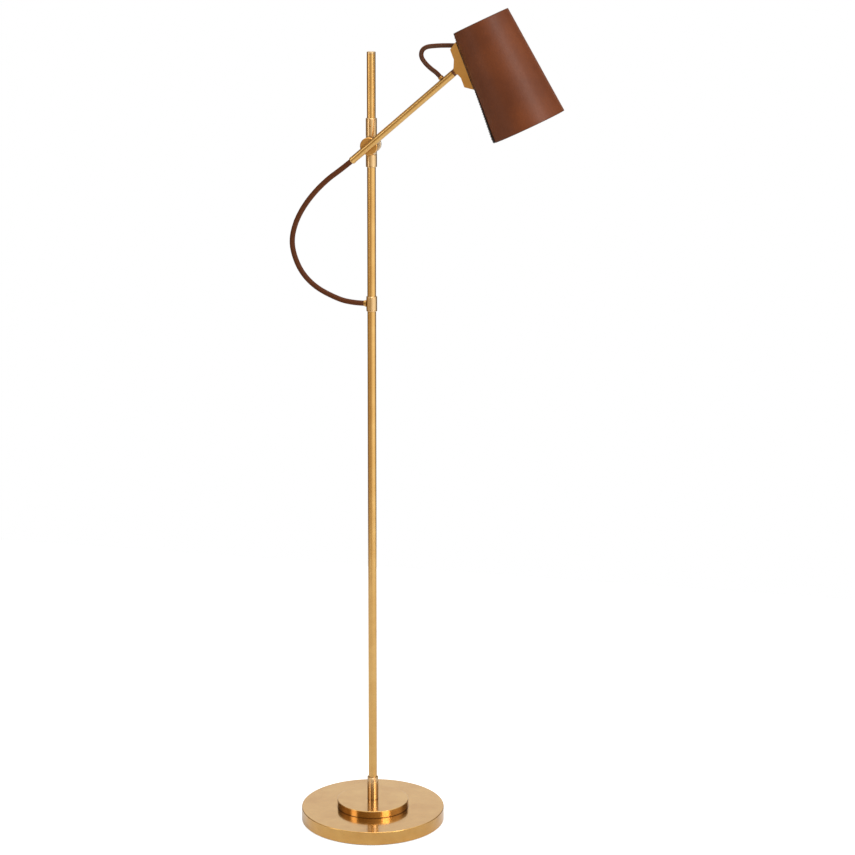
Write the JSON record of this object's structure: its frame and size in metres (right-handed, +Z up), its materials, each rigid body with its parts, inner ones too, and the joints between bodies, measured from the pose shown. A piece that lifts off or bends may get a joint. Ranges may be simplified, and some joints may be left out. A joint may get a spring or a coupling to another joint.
{
  "type": "pharmacy floor lamp",
  "caption": "Floor lamp with a round stepped base, slim pole, sliding swivelling hub, tilting straight arm and a tapered leather shade on a pivoting block.",
  "frame": {"origin": "on the floor, at the centre of the underside of the round base, under the pole's axis", "axes": "+Z up along the pole, +X towards the arm's raised end and the shade, -Y to the lamp's front, where the arm lies across the hub's disc"},
  "size_m": [0.4728, 0.2564, 1.4454],
  "materials": {
    "brushed_brass": "fine brushed, lightly aged and lacquered brass",
    "brass_turned": "turned brass with fine lathe lines, lightly aged",
    "brass_block": "flat satin brass with a darker aged tone",
    "dark_bronze": "darkened bronze",
    "cast_iron": "as-cast iron with black paint",
    "felt": "short black wool felt",
    "black_rubber": "soft black rubber",
    "shade_hide": "smooth chestnut leather with a fine grain and waxed edges",
    "cord_hide": "round stitched leather sleeve",
    "white_enamel": "warm white enamel",
    "zinc_steel": "zinc-plated steel",
    "nylon": "natural nylon",
    "fibre": "red-brown vulcanised fibre",
    "porcelain": "glazed white porcelain",
    "phenolic": "dark moulded phenolic",
    "frosted_glass": "frosted white lamp glass",
    "lead_sheath": "brown flexible lead sheath"
  },
  "bodies": {
    "stand": {"felt_pad": "felt", "base_weight": "cast_iron", "base_shell": "brushed_brass", "step_disc": "brushed_brass", "pole_socket": "brass_turned", "base_washer": "zinc_steel", "base_nut": "zinc_steel", "base_nipple": "zinc_steel", "pole_foot_plug": "brass_turned", "cord_inlet": "black_rubber", "pole": "brushed_brass", "pole_cap": "brass_turned", "cord_collar": "brass_turned", "cord_collar_screw": "zinc_steel", "pole_gland_nut": "dark_bronze", "pole_gland": "brass_turned", "pole_lead": "lead_sheath", "loop_cord": "cord_hide"},
    "carrier": {"lower_collar": "brass_turned", "upper_collar": "brass_turned", "collar_screws": "zinc_steel"},
    "hub": {"hub_body": "brass_turned", "hub_brake_pad": "nylon", "hub_brake_screw": "zinc_steel", "spindle_screw": "zinc_steel", "friction_washer": "fibre"},
    "arm": {"hub_disc": "brass_block", "saddle_screws": "zinc_steel", "arm_tube": "brushed_brass", "arm_tail_ring": "brass_turned", "arm_gland": "brass_turned", "swivel_bush": "dark_bronze", "tip_cord": "cord_hide"},
    "knuckle": {"knuckle": "brass_turned", "stem_nut": "zinc_steel"},
    "head": {"shade_block": "brass_block", "tilt_pin": "brass_turned", "block_spacers": "fibre", "block_screws": "zinc_steel", "shade_leather": "shade_hide", "shade_liner": "white_enamel", "shade_lid": "brushed_brass", "holder_nipple": "zinc_steel", "holder_top_nut": "brass_turned", "holder_lock_nut": "zinc_steel", "holder_cap": "brass_turned", "holder_shell": "brass_turned", "holder_insulator": "porcelain", "holder_contact": "brass_turned", "bulb_base": "zinc_steel", "bulb_glass": "frosted_glass", "lead_bush": "black_rubber", "head_lead": "lead_sheath"},
    "switch_key": {"switch_key": "phenolic"}
  },
  "joints": [
    {"name": "height_slide", "type": "slide", "parent": "stand", "child": "carrier", "axis": [0, 0, 1], "range_m": [-0.1, 0.06], "deforming": ["loop_cord"]},
    {"name": "hub_swivel", "type": "hinge", "parent": "carrier", "child": "hub", "pos_m": [0, 0, 1.2104], "axis": [0, 0, 1], "range_deg": [-60, 60]},
    {"name": "arm_tilt", "type": "hinge", "parent": "hub", "child": "arm", "pos_m": [0, -0.02, 1.2104], "axis": [0, -1, 0], "range_deg": [-50, 25], "deforming": ["tip_cord"]},
    {"name": "head_swivel", "type": "hinge", "parent": "arm", "child": "knuckle", "pos_m": [0.14868, -0.022, 1.33964], "axis": [0.7547, 0, 0.6561], "range_deg": [-60, 60]},
    {"name": "head_tilt", "type": "hinge", "parent": "knuckle", "child": "head", "pos_m": [0.1566, -0.022, 1.34653], "axis": [0, -1, 0], "range_deg": [-5, 42]},
    {"name": "switch_turn", "type": "hinge", "parent": "head", "child": "switch_key", "pos_m": [0.20289, -0.022, 1.39871], "axis": [0.8988, 0, 0.4384], "continuous": true}
  ]
}
